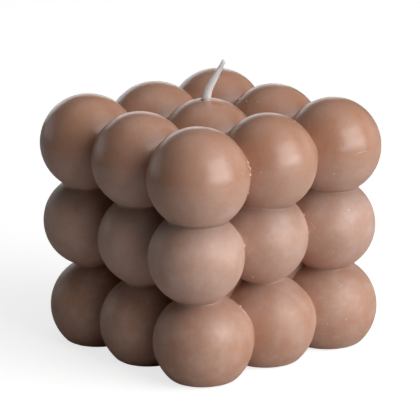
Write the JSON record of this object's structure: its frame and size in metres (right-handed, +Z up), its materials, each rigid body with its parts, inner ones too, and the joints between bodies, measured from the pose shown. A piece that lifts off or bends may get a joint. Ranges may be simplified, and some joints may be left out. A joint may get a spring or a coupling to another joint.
{
  "type": "cube candle",
  "caption": "cube-shaped wax candle cast as a lattice of touching round bubbles, with a flat base and a short leaning cotton wick at the centre of its top",
  "frame": {"origin": "centre of the flat base, on the wick's axis", "axes": "+Z up along the wick, +X and +Y square to the sides of the cube, with the side that the picture shows on the left facing -X and the one on the right facing -Y"},
  "size_m": [0.06, 0.06, 0.0659],
  "materials": {
    "wax": "coloured wax, satin, faintly mottled and slightly translucent",
    "wick": "white primed braided cotton"
  },
  "bodies": {
    "root": {"wax_body": "wax", "wick": "wick"}
  },
  "joints": []
}
